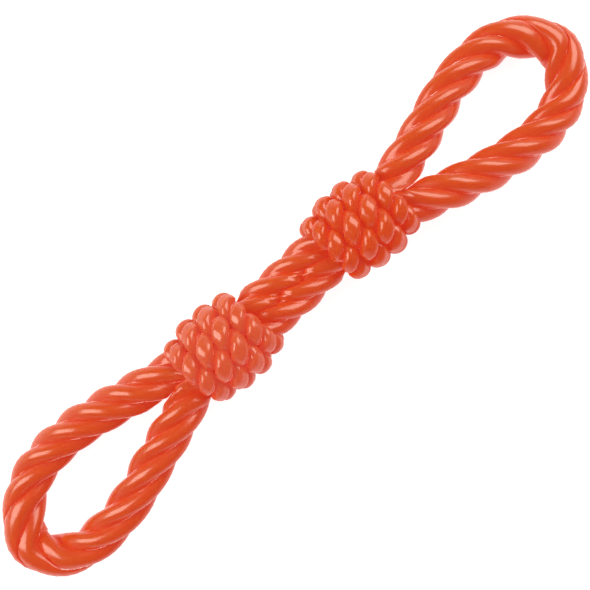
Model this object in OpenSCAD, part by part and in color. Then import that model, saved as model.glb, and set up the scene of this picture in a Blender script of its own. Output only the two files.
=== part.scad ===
// Training bumper: a soft rope tug for dogs. One endless four-strand rope is laid as a
// ring and drawn together in the middle, which leaves a hand loop at each end. Two short
// coils of a thinner two-strand rope bind the middle. It lies on the coils and loop tips.
// +X runs along the length, +Y across the loops, +Z up; the origin is under the middle.

/* [Overall] */
// length over both loop tips
overall_l = 380; // [342:1:418]
// outside width of a hand loop
loop_w = 71; // [68:0.5:76]

/* [Main rope] */
// diameter over the four strands
rope_d = 21; // [20:0.2:22]
// depth of the grooves between the strands
groove_depth = 3.6; // [2.8:0.1:4]
// whole turns that the strands make round the ring
rope_turns = 11; // [10:1:12]
// diameter of the straight strand inside the lay
heart_d = 3.8; // [3:0.1:4]

/* [Coils] */
// diameter over the fullest turns of a coil
coil_d = 46; // [43:0.2:49]
// turns in each coil
coil_turns = 4; // [3:1:4]
// distance between neighbouring turns
coil_pitch = 10.8; // [10.5:0.1:11.4]
// diameter of the bound ropes inside a coil
core_d = 25.2; // [24.6:0.2:26.6]
// turns of lay in the coil rope for each turn of the coil
wrap_twist = 5.05; // [4.75:0.05:5.45]

/* [Hidden] */
orange = [0.88, 0.33, 0.14];
coil_z = coil_d / 2;         // height of the rope's middle line in the coils
coil_x = [-41.3, 46.7];      // middles of the two coils at the nominal length
coil_phase = [0.115, 0.484]; // turns of lay with which the rope of each coil starts
end_drop = 3.2;              // how much lower the end turns of a coil are
wrap_r = 6.5;                // radius of the coil rope in its fullest turns
wrap_end_r = 5.9;
slack = 0.1;                 // room between strands that lie against each other
rope_rings = 112;
heart_rings = 56;
wrap_sides = 7;
wrap_rings = 204;

// Route of the rope from tip to tip: x, sideways sway of the middle line, half the gap
// between the two legs, then quarter turns of lay made by each leg at that place.
ROUTE = [
    [-179.3, -3.6,  0.0, 27.6, 71.6], [-172, -3.7, 13.4, 28.4, 70.8],
    [-160,   -1.8, 20.7, 29.2, 70.1], [-145,  0.0, 23.5, 30.1, 69.3],
    [-124,    1.6, 22.0, 31.3, 68.3], [-103,  3.0, 16.9, 32.5, 67.2],
    [ -83,    3.6, 11.4, 33.7, 66.0], [ -68,  4.4,  7.3, 34.5, 65.1],
    [ -47,    3.9,  5.1, 35.7, 63.8], [ -23,  3.5,  4.8, 37.1, 62.3],
    [   0,    2.9,  4.6, 38.5, 60.8], [  23,  3.5,  4.5, 40.0, 59.4],
    [  47,    2.4,  5.1, 41.3, 58.2], [  68,  1.0,  6.8, 42.7, 57.0],
    [  83,   -0.5, 11.0, 43.6, 56.2], [ 103, -1.0, 17.0, 44.8, 55.0],
    [ 124,   -0.2, 22.6, 46.0, 53.8], [ 145,  0.1, 24.8, 47.1, 52.6],
    [ 160,    0.4, 22.4, 48.0, 51.6], [ 172,  0.5, 14.5, 48.8, 50.7],
    [ 179.3,  0.6,  0.0, 49.7, 49.7]];
stretch = (overall_l - rope_d) / 359;
spread = (loop_w - rope_d - 14) / 36;
lay = rope_turns / 11;
tip_x = 179.3 * stretch;
last = len(ROUTE) - 1;
KNOTS = concat([for (i = [0:last - 1]) knot_of(ROUTE[i], 1, 3)],
    [knot_of(ROUTE[last], 1, 3)],
    [for (i = [last - 1:-1:1]) knot_of(ROUTE[i], -1, 4)]);
n_knots = len(KNOTS);

function knot_of(r, side, col) =
    [r[0] * stretch, r[1], side * (r[2] > 7 ? 7 + (r[2] - 7) * spread : r[2]), r[col] * lay];
function ease(t) = let (c = min(1, max(0, t))) c * c * (3 - 2 * c);
function unit(v) = v / norm(v);

// Smooth closed curve through the knots; u counts knots, and each lap adds the full lay.
function knot(i) = let (lap = floor(i / n_knots), k = KNOTS[i - lap * n_knots])
    [k[0], k[1], k[2], k[3] + 4 * rope_turns * lap];
function blend(a, b, c, d, t) = 0.5 * (2 * b + (c - a) * t
    + (2 * a - 5 * b + 4 * c - d) * t * t + (3 * b - a - 3 * c + d) * t * t * t);
function lane(u) = let (i = floor(u)) blend(knot(i - 1), knot(i), knot(i + 1), knot(i + 2), u - i);

// The loops sink gently from the height of the coils until their tips lie on the ground.
function sunk(x) = coil_z - (coil_z - rope_d / 2) * ease((abs(x) - 70) / (tip_x - 70));
function spot(u) = let (k = lane(u)) [k[0], k[1] + k[2], sunk(k[0])];

// Equal steps of length along the curve.
DENSE = [for (i = [0:n_knots * 8]) spot(i / 8)];
STEPS = [for (i = 0, s = 0; i < len(DENSE);
    s = s + (i < len(DENSE) - 1 ? norm(DENSE[i + 1] - DENSE[i]) : 0), i = i + 1) [s, i / 8]];
ring_l = STEPS[len(STEPS) - 1][0];

// How far a coil squeezes the rope at x: 0 outside the coils, 1 inside.
coil_half = coil_turns * coil_pitch / 2;
function squeezed(x) = max([for (c = coil_x) ease((coil_half + 4 - abs(x - c * stretch)) / 8)]);

// Squeeze of one leg's round section: the side toward the other leg is pressed flat at a
// distance w, and inside a coil the outer side follows the round core.
function pressed(p, w, c) =
    let (rho = norm(p), cs = p[0] / rho, sn = p[1] / rho, g = c * w,
        round_r = rope_d / 2 + (core_d / 2 - rope_d / 2) * c,
        far = sqrt(round_r * round_r - g * g * sn * sn) - g * cs,
        flat = w / max(-cs, 0.001),
        edge = pow(pow(far, -20) + pow(flat, -20), -0.05))
    p * edge / (rope_d / 2);

// Section of a strand in polar form, radius and angle: an arched outer face from groove to
// groove, flat sides and a hollow for the heart.
edge_angle = 45 - asin(slack / (rope_d / 2 - groove_depth));
STRAND = concat([for (u = [-1:0.5:1]) [rope_d / 2 - groove_depth * u * u, u * edge_angle]],
    [for (u = [1, 0, -1]) [heart_d / 2 + 2 * slack, u * edge_angle]]);
HEART = [for (m = [0:5]) [heart_d / 2, m * 60]];

// One ring of points at length s, with the section turned by the lay.
function rope_ring(s, section, turn) =
    let (u = lookup(s, STEPS), k = lane(u), at = spot(u),
        t = unit(spot(u + 0.03) - spot(u - 0.03)), n = unit(cross([0, 0, 1], t)), up = cross(t, n),
        w = abs(at[0]) < 110 ? abs(k[2]) : 99, c = squeezed(at[0]), f = 90 * (k[3] + turn))
    [for (m = section) let (e = pressed(m[0] * [cos(f + m[1]), sin(f + m[1])], w, c))
        at + e[0] * n + e[1] * up];

// Skin between rings of points, closed on itself or capped at both ends.
function skin(rings, sides, closed) = concat(
    [for (i = [0:rings - (closed ? 1 : 2)], m = [0:sides - 1], h = [0, 1])
        let (a = i * sides + m, b = i * sides + (m + 1) % sides,
            c = (i + 1) % rings * sides + m, d = (i + 1) % rings * sides + (m + 1) % sides)
        h == 0 ? [a, b, c] : [b, d, c]],
    closed ? [] : [[for (m = [sides - 1:-1:0]) m],
        [for (m = [0:sides - 1]) (rings - 1) * sides + m]]);

module rope_strand(j)
    color(orange) polyhedron(points = [for (i = [0:rope_rings - 1])
        each rope_ring(ring_l * i / rope_rings, STRAND, j - 0.5)],
        faces = skin(rope_rings, len(STRAND), true), convexity = 12);

module rope_heart()
    color(orange) polyhedron(points = [for (i = [0:heart_rings - 1])
        each rope_ring(ring_l * i / heart_rings, HEART, 0)],
        faces = skin(heart_rings, len(HEART), true), convexity = 8);

// Coil rope at t from 0 to 1: it starts and ends under the core, is fullest in the
// middle turns, and each strand swells where it comes to the outside.
SWAY = [for (r = ROUTE) [r[0] * stretch, r[1]]];
function wrap_spot(x0, t) =
    let (x = x0 + coil_pitch * coil_turns * (t - 0.5), h = 360 * coil_turns * t - 90, e = abs(2 * t - 1),
        lump = ease((e - 0.35) / 0.5), tap = sqrt(max(0.02, 1 - pow(max(0, 1 - min(t, 1 - t) / 0.05), 2))),
        q = (wrap_r + (wrap_end_r - wrap_r) * lump) * tap,
        out = core_d / 2 + (coil_d / 2 - core_d / 2 - end_drop * lump) * tap,
        lean = (lookup(x + 4, SWAY) - lookup(x - 4, SWAY)) / 8,
        ax = unit([1, lean, 0]), side = [-ax[1], ax[0], 0], er = cos(h) * side + sin(h) * [0, 0, 1])
    [[x, lookup(x, SWAY), coil_z] + (out - q) * er, er, q, (out - q - core_d / 2) / q];
function wrap_ring(x0, t, turn) =
    let (k = wrap_spot(x0, t), fwd = wrap_spot(x0, t + 0.001)[0] - wrap_spot(x0, t - 0.001)[0],
        tan = unit(fwd), up = unit(k[1] - (k[1] * tan) * tan), over = cross(tan, up),
        q = k[2], f = 360 * (wrap_twist * coil_turns * t + turn), b = (0.74 + 0.08 * cos(f)) * q)
    [for (m = [0:wrap_sides - 1]) let (h = 360 * m / wrap_sides,
        p = max(0.4 * q + 0.6 * q * cos(h), slack), s = b * sin(h),
        y = p * cos(f) - s * sin(f), x = p * sin(f) + s * cos(f),
        lim = coil_pitch / 2 - slack, over_x = x / pow(1 + pow(abs(x) / lim, 8), 0.125))
        k[0] + (y < 0 ? y * k[3] : y) * up + over_x * over];

module coil_strand(c, j)
    color(orange) polyhedron(points = [for (i = [0:wrap_rings - 1])
        each wrap_ring(coil_x[c] * stretch, 0.002 + 0.996 * i / (wrap_rings - 1), coil_phase[c] + j / 2)],
        faces = skin(wrap_rings, wrap_sides, false), convexity = 12);

module rope_strand_1() rope_strand(1);
module rope_strand_2() rope_strand(2);
module rope_strand_3() rope_strand(3);
module rope_strand_4() rope_strand(4);
module coil_a_strand_1() coil_strand(0, 0);
module coil_a_strand_2() coil_strand(0, 1);
module coil_b_strand_1() coil_strand(1, 0);
module coil_b_strand_2() coil_strand(1, 1);

rope_strand_1();
rope_strand_2();
rope_strand_3();
rope_strand_4();
rope_heart();
coil_a_strand_1();
coil_a_strand_2();
coil_b_strand_1();
coil_b_strand_2();
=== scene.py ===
import math

import bpy
import numpy as np
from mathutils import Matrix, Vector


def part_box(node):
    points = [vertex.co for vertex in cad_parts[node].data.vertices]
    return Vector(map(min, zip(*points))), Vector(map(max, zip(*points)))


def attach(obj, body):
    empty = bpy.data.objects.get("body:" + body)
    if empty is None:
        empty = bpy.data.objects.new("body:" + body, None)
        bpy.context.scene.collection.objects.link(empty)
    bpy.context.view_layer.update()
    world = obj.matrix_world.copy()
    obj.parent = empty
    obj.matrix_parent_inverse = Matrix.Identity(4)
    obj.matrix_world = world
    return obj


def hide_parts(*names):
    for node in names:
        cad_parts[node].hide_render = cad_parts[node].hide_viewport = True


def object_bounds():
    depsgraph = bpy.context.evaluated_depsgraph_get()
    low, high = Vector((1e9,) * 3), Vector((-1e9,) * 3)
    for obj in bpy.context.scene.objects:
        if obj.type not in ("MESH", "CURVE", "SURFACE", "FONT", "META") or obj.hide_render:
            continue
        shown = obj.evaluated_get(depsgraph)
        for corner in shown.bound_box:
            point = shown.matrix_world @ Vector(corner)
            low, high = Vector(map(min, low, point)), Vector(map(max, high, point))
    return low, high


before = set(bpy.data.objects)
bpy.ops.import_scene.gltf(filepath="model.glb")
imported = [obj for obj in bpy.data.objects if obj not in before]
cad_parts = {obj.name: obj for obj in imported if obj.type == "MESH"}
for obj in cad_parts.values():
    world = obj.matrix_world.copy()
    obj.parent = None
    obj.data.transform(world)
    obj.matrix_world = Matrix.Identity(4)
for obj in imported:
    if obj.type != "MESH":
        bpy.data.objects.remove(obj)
cad_low, cad_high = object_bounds()
bpy.ops.object.select_all(action="DESELECT")

# ---------------------------------------------------------------------------------------
# Path of the main rope
# One endless rope lies as a long ring, drawn together in the middle. It lies flat in plan;
# the coils hold its middle up, and both loops sink until their tips touch the ground.
# ---------------------------------------------------------------------------------------
ROPE_R = 0.0105         # radius over the four strands
LAY_TURNS = 11          # whole turns that the strands make round the ring

# From tip to tip, in millimetres: x, sideways sway of the middle line, half the gap between
# the legs, then the quarter turns of lay made by the outward leg and the returning leg.
ROUTE = [
    (-179.3, -3.6, 0.0, 27.6, 71.6), (-172, -3.7, 13.4, 28.4, 70.8),
    (-160, -1.8, 20.7, 29.2, 70.1), (-145, 0.0, 23.5, 30.1, 69.3),
    (-124, 1.6, 22.0, 31.3, 68.3), (-103, 3.0, 16.9, 32.5, 67.2),
    (-83, 3.6, 11.4, 33.7, 66.0), (-68, 4.4, 7.3, 34.5, 65.1),
    (-47, 3.9, 5.1, 35.7, 63.8), (-23, 3.5, 4.8, 37.1, 62.3),
    (0, 2.9, 4.6, 38.5, 60.8), (23, 3.5, 4.5, 40.0, 59.4),
    (47, 2.4, 5.1, 41.3, 58.2), (68, 1.0, 6.8, 42.7, 57.0),
    (83, -0.5, 11.0, 43.6, 56.2), (103, -1.0, 17.0, 44.8, 55.0),
    (124, -0.2, 22.6, 46.0, 53.8), (145, 0.1, 24.8, 47.1, 52.6),
    (160, 0.4, 22.4, 48.0, 51.6), (172, 0.5, 14.5, 48.8, 50.7),
    (179.3, 0.6, 0.0, 49.7, 49.7)]
KNOT_STEPS = 40         # steps of the smooth curve from one route point to the next


def coil_box(letter):
    lows, highs = zip(*(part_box(f"coil_{letter}_strand_{n}") for n in (1, 2)))
    return np.min(lows, axis=0), np.max(highs, axis=0)


COIL_BOXES = [coil_box("a"), coil_box("b")]
COIL_X = [float(low[0] + high[0]) / 2 for low, high in COIL_BOXES]
COIL_Z = float(np.mean([(low[2] + high[2]) / 2 for low, high in COIL_BOXES]))
TIP_X = float(cad_high.x - cad_low.x) / 2 - ROPE_R
LEVEL_X = 0.070         # the loops begin to sink here


def ease(t):
    t = np.clip(t, 0, 1)
    return t * t * (3 - 2 * t)


def unit(v):
    return v / np.linalg.norm(v, axis=-1, keepdims=True)


def knots():
    there = [(x, sway, half, lay) for x, sway, half, lay, _ in ROUTE]
    back = [(x, sway, -half, lay) for x, sway, half, _, lay in ROUTE[-2:0:-1]]
    return np.array(there + back) * (0.001, 0.001, 0.001, 1)


def smooth_ring(points):
    """Catmull-Rom curve once round the points; the lay goes on by its full turns each lap."""
    count = len(points)
    lap = np.array([0, 0, 0, 4 * LAY_TURNS])
    p = [points[i % count] + lap * (i // count) for i in range(-1, count + 3)]
    t = (np.arange(KNOT_STEPS) / KNOT_STEPS)[:, None]
    pieces = []
    for a, b, c, d in zip(p, p[1:], p[2:], p[3:]):
        pieces.append(0.5 * (2 * b + (c - a) * t + (2 * a - 5 * b + 4 * c - d) * t * t
                             + (3 * b - a - 3 * c + d) * t ** 3))
    return np.vstack(pieces)[:count * KNOT_STEPS + 1]


curve = smooth_ring(knots())
sunk = ease((np.abs(curve[:, 0]) - LEVEL_X) / (TIP_X - LEVEL_X))
ring_points = np.column_stack([curve[:, 0], curve[:, 1] + curve[:, 2],
                               COIL_Z - (COIL_Z - ROPE_R) * sunk])
ring_length = np.concatenate([[0], np.cumsum(np.linalg.norm(np.diff(ring_points, axis=0), axis=1))])
ring_l = ring_length[-1]


def on_ring(values, s):
    return np.interp(s % ring_l, ring_length, values)


def rope_axis(s):
    return np.column_stack([on_ring(ring_points[:, i], s) for i in range(3)])


def rope_frame(s):
    """Middle of the rope at length s, with its outward and upward directions."""
    along = unit(rope_axis(s + 0.0015) - rope_axis(s - 0.0015))
    out = unit(np.cross([0, 0, 1.0], along))
    return rope_axis(s), out, np.cross(along, out)


# ---------------------------------------------------------------------------------------
# Main rope strands
# Four soft strands laid right-handed round a thin heart. Each one is endless: it goes
# eleven times round its neighbours on one lap. Where the coils grip them, the two legs of
# the rope are pressed flat against each other and into a round core.
# ---------------------------------------------------------------------------------------
GROOVE = 0.0036         # depth of the sharp groove between two strands
GROOVE_FILL = 0.15      # share of a strand's half width that the groove's fillet takes
HEART_R = 0.0019
CORE_R = 0.0126         # the two legs together, inside a coil
COIL_PITCH = 0.0108
COIL_TURNS = 4
STRAND_RINGS = 720
STRAND_SIDES = 32
FLOW_R = 9              # the streak pattern's way once round the ring, as a radius
STRAND_CORNER = 10      # sides from the crown of a strand to its edge
SEAM_REACH = 0.0028     # how far from the seam the two legs are blended
SEAM_SWING = 0.0018     # how far the seam leaves the middle line
SEAM_OVERLAP = 0.00012
LEGS_APART_X = 0.110    # past here the legs are too far apart to press on each other
TIP_SMOOTH_X = 0.150    # where the grooves begin to flatten toward a loop's tip
TIP_SMOOTH_RUN = 0.022
TIP_SMOOTH_SHARE = 0.75
TIP_SMOOTH_SIDE = 0.55  # how far over the top of the rope the flattening reaches


def gripped(x):
    half = COIL_TURNS * COIL_PITCH / 2 + 0.004
    return np.max([ease((half - np.abs(x - middle)) / 0.008) for middle in COIL_X], axis=0)


def strand_crown(u):
    """Radius over a strand; u runs from -1 to 1 between its two grooves."""
    fillet = np.clip(np.abs(u) - 1 + GROOVE_FILL, 0, 1) / GROOVE_FILL
    return ROPE_R - GROOVE * (u * u - GROOVE_FILL * fillet ** 2)


def skyline(lay, gap, side, y, upside):
    """Height of one leg's outline over the places y across the middle line."""
    angle = np.linspace(math.pi - 0.05, 0.05, 180) * upside
    radius = strand_crown(2 * ((angle / (math.pi / 2) - lay) % 1 - 0.5))
    place = side * (gap + radius * np.cos(angle))
    order = np.argsort(place)
    return np.interp(y, place[order], np.abs(radius * np.sin(angle))[order])


def seam_line(upside):
    """Where the legs meet along the tug: place across, and each leg's height there."""
    rows = []
    y = np.linspace(-SEAM_SWING, SEAM_SWING, 37)
    for x in SEAM_X:
        here = int(np.argmin(np.abs(curve[:half_ring, 0] - x)))
        there = half_ring + int(np.argmin(np.abs(curve[half_ring:-1, 0] - x)))
        gap = abs(curve[here, 2])
        first = skyline(curve[here, 3], gap, 1, y, upside)
        second = skyline(curve[there, 3], gap, -1, y, upside)
        best = int(np.argmin(np.abs(first - second) + 0.1 * np.abs(y)))
        rows.append((y[best], first[best], second[best]))
    smooth = np.array(rows)
    for _ in range(6):
        smooth[1:-1] = (smooth[:-2] + 2 * smooth[1:-1] + smooth[2:]) / 4
    return smooth


half_ring = KNOT_STEPS * (len(ROUTE) - 1)
RETURN_START = ring_length[half_ring]
SEAM_X = np.linspace(-0.1, 0.1, 401)
SEAM = {1: seam_line(1), -1: seam_line(-1)}


def along_seam(upside, column, x):
    return np.interp(x, SEAM_X, SEAM[upside][:, column])


def pressed(p, q, gap, side, x):
    """Shape of one leg's section: cut along the seam, round outside in a coil."""
    grip = gripped(x)
    rho = np.hypot(p, q) + 1e-9
    cosine, sine = p / rho, q / rho
    shift = grip * gap
    round_r = ROPE_R + (CORE_R - ROPE_R) * grip
    far = np.sqrt(round_r ** 2 - (shift * sine) ** 2) - shift * cosine
    top = np.clip(0.5 + q / (1.2 * ROPE_R), 0, 1)
    swing = top * along_seam(1, 0, x) + (1 - top) * along_seam(-1, 0, x)
    own = gap - side * swing + SEAM_OVERLAP
    flat = own / np.maximum(-cosine, 0.001)
    reach = rho * far / ROPE_R
    reach = reach * (1 + (reach / flat) ** 40) ** -0.025
    p, q = reach * cosine, reach * sine
    column = 1 if side > 0 else 2
    level = [np.where(q > 0, along_seam(1, c, x), along_seam(-1, c, x)) for c in (1, 2)]
    meet = (level[0] + level[1]) / 2
    mine = level[column - 1]
    slope = np.minimum(gap / np.sqrt(np.maximum(ROPE_R ** 2 - gap ** 2, 1e-6)), 1.0)
    near = np.clip(1 - (p + own) / SEAM_REACH, 0, 1) ** 2 * (gap < ROPE_R)
    q = q * (1 + near * ((meet + slope * SEAM_REACH / 2) / mine - 1))
    return p, q, near


def place_in_rope(lap, radius, angle):
    """Puts a point of the rope's section, given in turning polar form, at its place."""
    s = lap * ring_l
    middle, out, up = rope_frame(s)
    x = middle[:, 0]
    angle = angle + on_ring(curve[:, 3], s) * math.pi / 2
    gap = np.where(np.abs(x) < LEGS_APART_X, np.abs(on_ring(curve[:, 2], s)), 0.099)
    ahead = s < RETURN_START
    p, q = radius * np.cos(angle), radius * np.sin(angle)
    near = np.zeros_like(p)
    for side, leg in ((1, ahead), (-1, ~ahead)):
        p[leg], q[leg], near[leg] = pressed(p[leg], q[leg], gap[leg], side, x[leg])
    return middle + p[:, None] * out + q[:, None] * up, near


def place_strand(lap, around, number):
    """Section of a strand: its outer face from groove to groove, then down to the heart."""
    corner = 2 * math.pi * STRAND_CORNER / STRAND_SIDES
    u = np.clip(around / corner, -1, 1)
    inward = np.clip((np.abs(around) - corner) / (math.pi - corner), 0, 1)
    outer = strand_crown(u)
    radius = outer + (HEART_R - outer) * np.clip(inward * 1.5, 0, 1)
    face = u * (1 - np.clip(inward * 3 - 2, 0, 1))
    angle = (number - 0.5 + face / 2) * math.pi / 2
    s = lap * ring_l
    outward = np.cos(angle + on_ring(curve[:, 3], s) * math.pi / 2)
    stretched = ease((np.abs(on_ring(curve[:, 0], s)) - TIP_SMOOTH_X) / TIP_SMOOTH_RUN)
    stretched = stretched * np.clip(outward + TIP_SMOOTH_SIDE, 0, 1)
    radius = radius + TIP_SMOOTH_SHARE * stretched * (ROPE_R - outer) * (inward == 0)
    points, near = place_in_rope(lap, radius, angle)
    # How deep each point lies between the strands, and near the seam between the legs; the skin
    # paints these places deeper red, as painted shade.
    depth = np.where(inward > 0, 1, u * u)
    return points, np.maximum(depth, near)


def read_points(mesh):
    flat = np.empty(len(mesh.vertices) * 3)
    mesh.vertices.foreach_get("co", flat)
    return flat.reshape(-1, 3)


def write_points(piece, points, depth, flow):
    """Moves the vertices to their places. Keeps how deep each lies between the strands, and
    the streak coordinates, which run slowly along a strand and fast round it."""
    mesh = piece.data
    mesh.vertices.foreach_set("co", points.ravel())
    # The groove depth drives the painted shade in the skin's colour.
    mesh.attributes.new("groove", "FLOAT", "POINT").data.foreach_set("value", depth)
    mesh.attributes.new("flow", "FLOAT_VECTOR", "POINT").data.foreach_set("vector", flow.ravel())
    mesh.update()
    bpy.ops.object.mode_set(mode="EDIT")
    bpy.ops.mesh.select_all(action="SELECT")
    bpy.ops.mesh.normals_make_consistent(inside=False)
    bpy.ops.object.mode_set(mode="OBJECT")
    bpy.ops.object.shade_smooth()
    piece.select_set(False)


def endless_strand(name, rings, sides, place):
    """A torus is an endless strand already; its points are laid along the rope."""
    bpy.ops.mesh.primitive_torus_add(major_segments=rings, minor_segments=sides,
                                     major_radius=1, minor_radius=0.25)
    strand = bpy.context.object
    strand.name = strand.data.name = name
    co = read_points(strand.data)
    lap = np.arctan2(co[:, 1], co[:, 0]) / (2 * math.pi) % 1
    around = np.arctan2(co[:, 2], np.hypot(co[:, 0], co[:, 1]) - 1)
    flow = np.column_stack([FLOW_R * np.cos(2 * math.pi * lap), FLOW_R * np.sin(2 * math.pi * lap),
                            1.6 * np.cos(around)])
    write_points(strand, *place(lap, around), flow)
    return strand


def skin_group():
    """Colour, roughness and relief of the skin, shared by rope and coils. The colour is painted
    deeper red in the grooves as painted shade, and the glow is painted light.
    """
    tree = bpy.data.node_groups.new("skin with painted light", "ShaderNodeTree")
    for label, kind in (("Crown", "NodeSocketColor"), ("Hollow", "NodeSocketColor"),
                        ("Crown Glow", "NodeSocketColor"), ("Hollow Glow", "NodeSocketColor"),
                        ("Roughness", "NodeSocketFloat")):
        tree.interface.new_socket(label, in_out="INPUT", socket_type=kind)
    for label, kind in (("Color", "NodeSocketColor"), ("Glow", "NodeSocketColor"),
                        ("Roughness", "NodeSocketFloat"), ("Height", "NodeSocketFloat")):
        tree.interface.new_socket(label, in_out="OUTPUT", socket_type=kind)
    nodes, link = tree.nodes, tree.links.new
    given, result = nodes.new("NodeGroupInput"), nodes.new("NodeGroupOutput")
    groove = nodes.new("ShaderNodeAttribute")
    groove.attribute_name = "groove"
    place = nodes.new("ShaderNodeTexCoord")
    cloud = nodes.new("ShaderNodeTexNoise")
    cloud.inputs["Scale"].default_value = 60
    cloud.inputs["Detail"].default_value = 3
    flow = nodes.new("ShaderNodeAttribute")
    flow.attribute_name = "flow"
    fine = nodes.new("ShaderNodeTexNoise")
    fine.inputs["Scale"].default_value = 2.2
    fine.inputs["Detail"].default_value = 3
    link(place.outputs["Object"], cloud.inputs["Vector"])
    link(flow.outputs["Vector"], fine.inputs["Vector"])
    uneven = nodes.new("ShaderNodeMath")
    uneven.operation = "MULTIPLY_ADD"
    uneven.inputs[1].default_value = 0.5
    uneven.inputs[2].default_value = -0.25
    link(cloud.outputs["Fac"], uneven.inputs[0])
    depth = nodes.new("ShaderNodeMath")
    depth.operation = "ADD"
    depth.use_clamp = True
    link(groove.outputs["Fac"], depth.inputs[0])
    link(uneven.outputs[0], depth.inputs[1])
    # Crown to hollow by groove depth, with random unevenness: the hollow colour is painted shade,
    # and the hollow glow is a stronger painted glow in the grooves.
    for crown, hollow, mixed in (("Crown", "Hollow", "Color"),
                                 ("Crown Glow", "Hollow Glow", "Glow")):
        colour = nodes.new("ShaderNodeMix")
        colour.data_type = "RGBA"
        link(depth.outputs[0], colour.inputs["Factor"])
        link(given.outputs[crown], colour.inputs[6])
        link(given.outputs[hollow], colour.inputs[7])
        link(colour.outputs[2], result.inputs[mixed])
    rough = nodes.new("ShaderNodeMath")
    rough.operation = "MULTIPLY_ADD"
    rough.inputs[1].default_value = 0.12
    link(cloud.outputs["Fac"], rough.inputs[0])
    link(given.outputs["Roughness"], rough.inputs[2])
    link(rough.outputs[0], result.inputs["Roughness"])
    relief = nodes.new("ShaderNodeMath")
    relief.operation = "MULTIPLY_ADD"
    relief.inputs[1].default_value = 0.4
    link(fine.outputs["Fac"], relief.inputs[0])
    link(cloud.outputs["Fac"], relief.inputs[2])
    link(relief.outputs[0], result.inputs["Height"])
    return tree


skin_with_painted_light = skin_group()


def elastomer(name, crown, hollow, crown_glow, hollow_glow, rough):
    """Glossy soft elastomer, painted deeper and redder in the grooves as painted shade, with a
    painted glow that stands in for fill light and light through the rubber.
    """
    skin = bpy.data.materials.new(name)
    skin.use_nodes = True
    nodes, links = skin.node_tree.nodes, skin.node_tree.links
    shader = nodes["Principled BSDF"]
    shader.inputs["Subsurface Weight"].default_value = 0.6
    shader.inputs["Subsurface Radius"].default_value = (1.0, 0.2, 0.1)
    shader.inputs["Subsurface Scale"].default_value = 0.004
    shader.inputs["IOR"].default_value = 1.36
    shader.inputs["Coat Weight"].default_value = 0.15
    shader.inputs["Coat Roughness"].default_value = 0.1
    shader.inputs["Sheen Weight"].default_value = 0.6
    shader.inputs["Sheen Roughness"].default_value = 0.15
    # Emission carries a painted glow that stands in for fill light and light through the rubber.
    shader.inputs["Emission Strength"].default_value = 1.0
    finish = nodes.new("ShaderNodeGroup")
    finish.node_tree = skin_with_painted_light
    finish.inputs["Crown"].default_value = crown
    finish.inputs["Hollow"].default_value = hollow
    finish.inputs["Crown Glow"].default_value = crown_glow
    finish.inputs["Hollow Glow"].default_value = hollow_glow
    finish.inputs["Roughness"].default_value = rough
    bump = nodes.new("ShaderNodeBump")
    bump.inputs["Strength"].default_value = 0.35
    bump.inputs["Distance"].default_value = 0.0004
    links.new(finish.outputs["Color"], shader.inputs["Base Color"])
    links.new(finish.outputs["Glow"], shader.inputs["Emission Color"])
    links.new(finish.outputs["Roughness"], shader.inputs["Roughness"])
    links.new(finish.outputs["Height"], bump.inputs["Height"])
    links.new(bump.outputs["Normal"], shader.inputs["Normal"])
    return skin


# Crown and hollow colours, then crown and hollow glow: the darker hollow colour is painted shade in
# the grooves, and the glow is painted fill light.
rope_skin = elastomer("rope elastomer", (0.12, 0.033, 0.001, 1), (0.12, 0.020, 0.001, 1),
                      (0.50, 0.022, 0.009, 1), (0.55, 0.030, 0.012, 1), 0.2)

for number in (1, 2, 3, 4):
    strand = endless_strand(f"laid_strand_{number}", STRAND_RINGS, STRAND_SIDES,
                            lambda lap, around: place_strand(lap, around, number))
    strand.data.materials.append(rope_skin)
    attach(strand, "root")
    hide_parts(f"rope_strand_{number}")

# ---------------------------------------------------------------------------------------
# Heart
# A thin straight strand of the same elastomer fills the channel between the four strands.
# It is closed in all round and doesn't show.
# ---------------------------------------------------------------------------------------
heart = endless_strand("laid_heart", 320, 12,
                       lambda lap, around: place_in_rope(lap, np.full_like(lap, HEART_R), around))
heart.data.materials.append(rope_skin)
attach(heart, "root")
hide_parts("rope_heart")

# ---------------------------------------------------------------------------------------
# Coils
# Each coil is four close turns of a thinner rope of two strands, fuller in the middle. It
# starts and ends under the tug, where its tapered ends are tucked against the rope.
# ---------------------------------------------------------------------------------------
COIL_R = float(np.mean([(high[2] - low[2]) / 2 for low, high in COIL_BOXES]))
COIL_END_DROP = 0.0032      # how much lower the end turns are
WRAP_R = 0.0065             # coil rope, in the fullest turns
WRAP_R_END = 0.0059
WRAP_TWIST = 5.05           # turns of lay for each turn of the coil
WRAP_PHASE = {"a": 0.115, "b": -0.016}
WRAP_TAPER = 0.05           # share of the coil rope that its end taper takes
BULGE_LAP = 0.0026          # how far a bulge may reach over the next turn
WRAP_RINGS = 760
WRAP_SIDES = 24
SWAY_X = np.array([row[0] for row in ROUTE]) * 0.001
SWAY_Y = np.array([row[1] for row in ROUTE]) * 0.001


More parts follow.
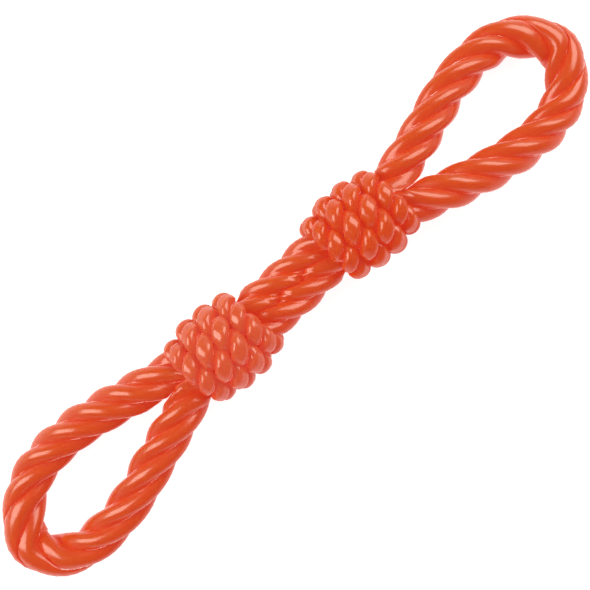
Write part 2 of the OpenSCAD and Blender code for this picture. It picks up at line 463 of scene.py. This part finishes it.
def wrap_frame(middle_x, t):
    """Axis of the coil rope at t from 0 to 1: place, outward direction, radius, height."""
    x = middle_x + COIL_PITCH * COIL_TURNS * (t - 0.5)
    angle = 2 * math.pi * COIL_TURNS * t - math.pi / 2
    lump = ease((np.abs(2 * t - 1) - 0.35) / 0.5)
    taper = np.sqrt(1 - np.clip(1 - np.minimum(t, 1 - t) / WRAP_TAPER, 0, 1) ** 2)
    radius = (WRAP_R + (WRAP_R_END - WRAP_R) * lump) * np.maximum(taper, 0.02)
    outside = CORE_R + (COIL_R - CORE_R - COIL_END_DROP * lump) * taper
    lean = (np.interp(x + 0.004, SWAY_X, SWAY_Y) - np.interp(x - 0.004, SWAY_X, SWAY_Y)) / 0.008
    axis = unit(np.column_stack([np.ones_like(x), lean, np.zeros_like(x)]))
    side = np.cross([0, 0, 1.0], axis)
    away = np.cos(angle)[:, None] * side + np.sin(angle)[:, None] * np.array([0, 0, 1.0])
    centre = np.column_stack([x, np.interp(x, SWAY_X, SWAY_Y), np.full_like(x, COIL_Z)])
    reach = outside - radius
    return centre + reach[:, None] * away, away, radius, (reach - CORE_R) / radius


def place_in_coil(middle_x, t, around, phase):
    spot, away, radius, under = wrap_frame(middle_x, t)
    step = wrap_frame(middle_x, t + 0.0005)[0] - wrap_frame(middle_x, t - 0.0005)[0]
    along = unit(step)
    out = unit(away - np.sum(away * along, axis=1, keepdims=True) * along)
    across = np.cross(along, out)
    turn = 2 * math.pi * (WRAP_TWIST * COIL_TURNS * t + phase)
    half_in = 0.6 * radius
    half_round = (0.68 + 0.15 * np.cos(turn)) * radius
    p = np.maximum(radius - half_in + half_in * np.cos(around), 0)
    q = half_round * np.sin(around)
    x, y = p * np.cos(turn) - q * np.sin(turn), p * np.sin(turn) + q * np.cos(turn)
    y = y / (1 + (np.abs(y) / (COIL_PITCH / 2 + BULGE_LAP)) ** 6) ** (1 / 6)
    # How deep a point lies between the coil's beads; the skin paints the deeper places deeper red,
    # as painted shade.
    depth = ease((radius - np.hypot(x, y)) / (0.5 * radius))
    x = np.where(x < 0, x * under, x)
    return spot + x[:, None] * out + y[:, None] * across, depth


def coil_strand(name, middle_x, phase):
    """A sphere is a closed strand already; pole to pole it is laid along the coil."""
    bpy.ops.mesh.primitive_uv_sphere_add(segments=WRAP_SIDES, ring_count=WRAP_RINGS, radius=1)
    strand = bpy.context.object
    strand.name = strand.data.name = name
    co = read_points(strand.data)
    t = np.arccos(np.clip(co[:, 2], -1, 1)) / math.pi
    around = np.arctan2(co[:, 1], co[:, 0])
    flow = np.column_stack([8 * t, 1.3 * np.cos(around), 1.3 * np.sin(around)])
    write_points(strand, *place_in_coil(middle_x, t, around, phase), flow)
    return strand


# Coil a's copy of the same elastomer has paler colours and a stronger glow: painted light on that
# coil. Coil b's matches the rope.
coil_skins = {
    "a": elastomer("coil a elastomer", (0.12, 0.036, 0.004, 1), (0.12, 0.022, 0.002, 1),
                   (0.53, 0.042, 0.026, 1), (0.56, 0.046, 0.024, 1), 0.16),
    "b": elastomer("coil b elastomer", (0.12, 0.033, 0.001, 1), (0.12, 0.020, 0.001, 1),
                   (0.51, 0.022, 0.009, 1), (0.55, 0.030, 0.012, 1), 0.16)}

for letter, middle_x in zip("ab", COIL_X):
    for number in (1, 2):
        strand = coil_strand(f"bound_{letter}_strand_{number}", middle_x,
                             WRAP_PHASE[letter] + (number - 1) / 2)
        strand.data.materials.append(coil_skins[letter])
        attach(strand, "root")
        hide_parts(f"coil_{letter}_strand_{number}")

# ---------------------------------------------------------------------------------------
# Studio
# A pale seamless floor under a soft bright sky, with one soft light at the left and one at the
# upper right. The camera looks straight down from less than half a metre up, turned so that
# the tug lies corner to corner.
# ---------------------------------------------------------------------------------------
ROLL = math.radians(42.66)
CAMERA_HEIGHT = 0.455
FRAME_WIDTH = 0.2928                # at the height of the loop tips
VIEW_OFFSET = (0.00133, -0.00025)   # right and up, from the middle of the tug

bpy.ops.mesh.primitive_plane_add(size=80)
floor = bpy.context.object
floor.name = "floor"
paper = bpy.data.materials.new("pale paper")
paper.use_nodes = True
glow = paper.node_tree.nodes["Principled BSDF"].inputs
glow["Base Color"].default_value = (0.25, 0.25, 0.25, 1)
glow["Roughness"].default_value = 0.9
glow["Emission Color"].default_value = (1, 1, 1, 1)
glow["Emission Strength"].default_value = 0.92
floor.data.materials.append(paper)

right = np.array([math.cos(ROLL), -math.sin(ROLL), 0])
upward = np.array([math.sin(ROLL), math.cos(ROLL), 0])


def soft_light(name, direction, distance, size, power):
    """Square light at right, up and height shares of a distance, facing the tug."""
    spot = direction[0] * right + direction[1] * upward + direction[2] * np.array([0, 0, 1])
    lamp = bpy.data.objects.new(name, bpy.data.lights.new(name, "AREA"))
    lamp.data.size = size
    lamp.data.color = (1, 0.97, 0.84)
    lamp.data.energy = power
    lamp.location = spot * distance
    lamp.rotation_mode = "QUATERNION"
    lamp.rotation_quaternion = (-lamp.location).to_track_quat("-Z", "Y")
    bpy.context.scene.collection.objects.link(lamp)


soft_light("left light", (-0.75, -0.05, 0.66), 1.2, 0.8, 20)
soft_light("top light", (0.4, 0.62, 0.66), 1.2, 0.85, 19)

sky = bpy.data.worlds.new("studio")
sky.use_nodes = True
nodes, links = sky.node_tree.nodes, sky.node_tree.links
direction = nodes.new("ShaderNodeTexCoord")
parts = nodes.new("ShaderNodeSeparateXYZ")
height = nodes.new("ShaderNodeMapRange")
height.interpolation_type = "SMOOTHSTEP"
height.inputs["From Min"].default_value = 0.05
height.inputs["From Max"].default_value = 0.35
height.inputs["To Min"].default_value = 1.0
height.inputs["To Max"].default_value = 0.2
links.new(direction.outputs["Generated"], parts.inputs[0])
links.new(parts.outputs["Z"], height.inputs["Value"])
links.new(height.outputs["Result"], nodes["Background"].inputs["Strength"])
nodes["Background"].inputs["Color"].default_value = (1, 1, 1, 1)
bpy.context.scene.world = sky
bpy.context.scene.view_settings.view_transform = "Standard"

lens = bpy.data.cameras.new("camera")
lens.sensor_width = 36
lens.lens = 36 * (CAMERA_HEIGHT - ROPE_R) / FRAME_WIDTH
lens.clip_start = 0.02
lens.clip_end = 100
camera = bpy.data.objects.new("camera", lens)
camera.location = VIEW_OFFSET[0] * right + VIEW_OFFSET[1] * upward + np.array([0, 0, CAMERA_HEIGHT])
camera.rotation_euler = (0, 0, -ROLL)
bpy.context.scene.collection.objects.link(camera)
bpy.context.scene.camera = camera
